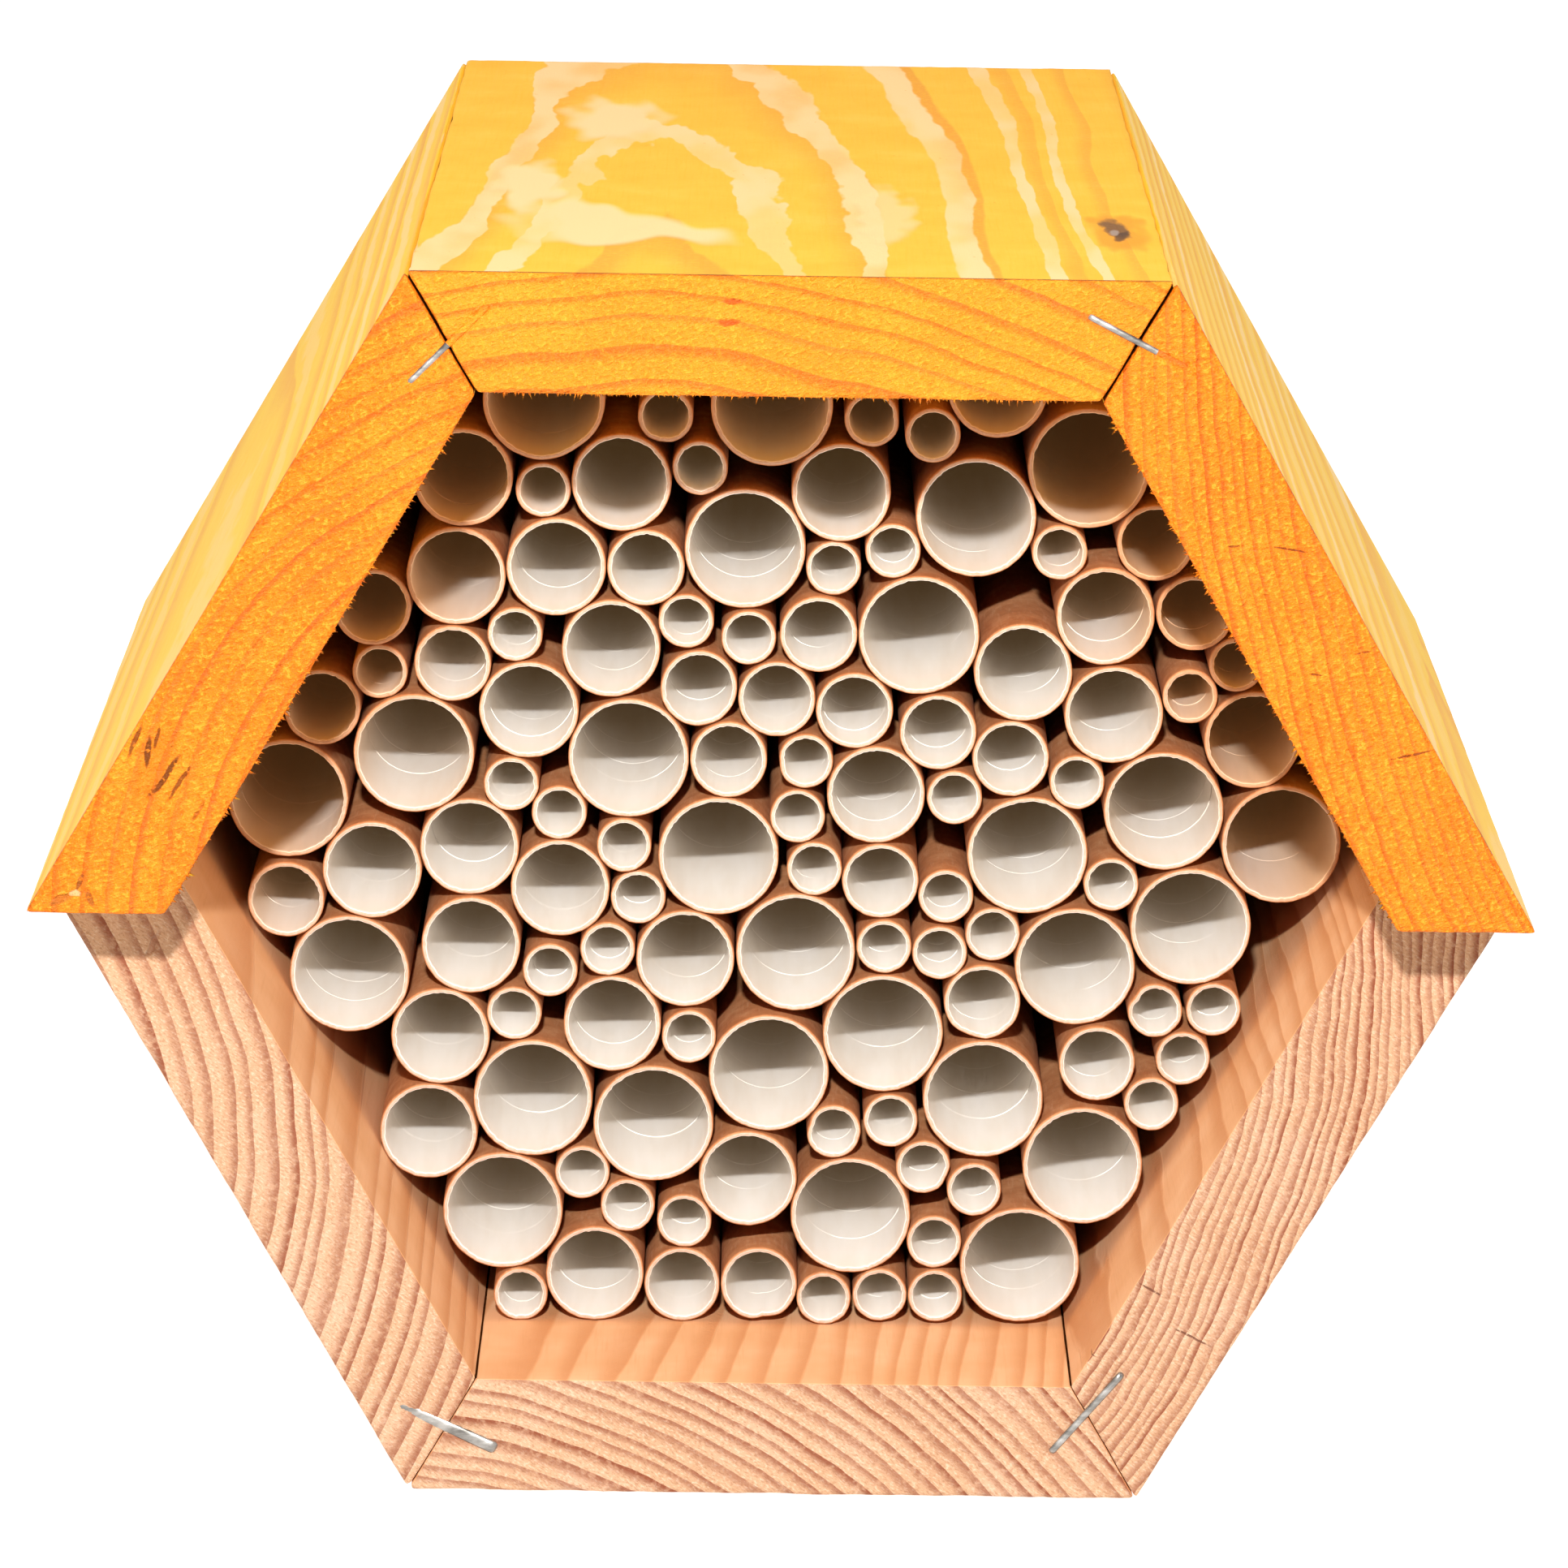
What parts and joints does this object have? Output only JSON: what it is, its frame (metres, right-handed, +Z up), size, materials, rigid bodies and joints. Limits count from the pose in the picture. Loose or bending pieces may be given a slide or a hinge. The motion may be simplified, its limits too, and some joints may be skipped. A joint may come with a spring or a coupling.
{
  "type": "insect hotel",
  "caption": "Hexagonal wooden insect hotel: mitred boards round a packed bundle of open paper nesting tubes, with a stained roof that stands forward as a porch.",
  "frame": {"origin": "on the surface it stands on, under the middle of the house, half way between its front and back", "axes": "+Z up, -Y towards the open front, +X to the right as seen from the front"},
  "size_m": [0.132, 0.135, 0.1143],
  "materials": {
    "stained_wood": "satin",
    "plain_wood": "matte",
    "plywood": "matte",
    "paper_tube": "matte",
    "staple_steel": "satin",
    "zinc_steel": "satin"
  },
  "bodies": {
    "root": {"wall_board_right": "plain_wood", "roof_board_right": "stained_wood", "roof_board_top": "stained_wood", "roof_board_left": "stained_wood", "wall_board_left": "plain_wood", "floor_board": "plain_wood", "back_panel": "plywood", "narrow_tubes_course_1": "paper_tube", "narrow_tubes_course_2": "paper_tube", "narrow_tubes_course_3": "paper_tube", "narrow_tubes_course_4": "paper_tube", "narrowest_tubes_course_1": "paper_tube", "narrowest_tubes_course_2": "paper_tube", "narrowest_tubes_course_3": "paper_tube", "narrowest_tubes_course_4": "paper_tube", "wide_tubes_course_1": "paper_tube", "wide_tubes_course_2": "paper_tube", "wide_tubes_course_3": "paper_tube", "wide_tubes_course_4": "paper_tube", "widest_tubes_course_1": "paper_tube", "widest_tubes_course_2": "paper_tube", "widest_tubes_course_3": "paper_tube", "widest_tubes_course_4": "paper_tube", "front_staple_upper_left": "staple_steel", "front_staple_upper_right": "staple_steel", "front_staple_lower_left": "staple_steel", "front_staple_lower_right": "staple_steel", "rear_staples": "staple_steel", "panel_brads": "staple_steel", "hanger_plate": "zinc_steel", "hanger_screws": "zinc_steel"}
  },
  "joints": []
}
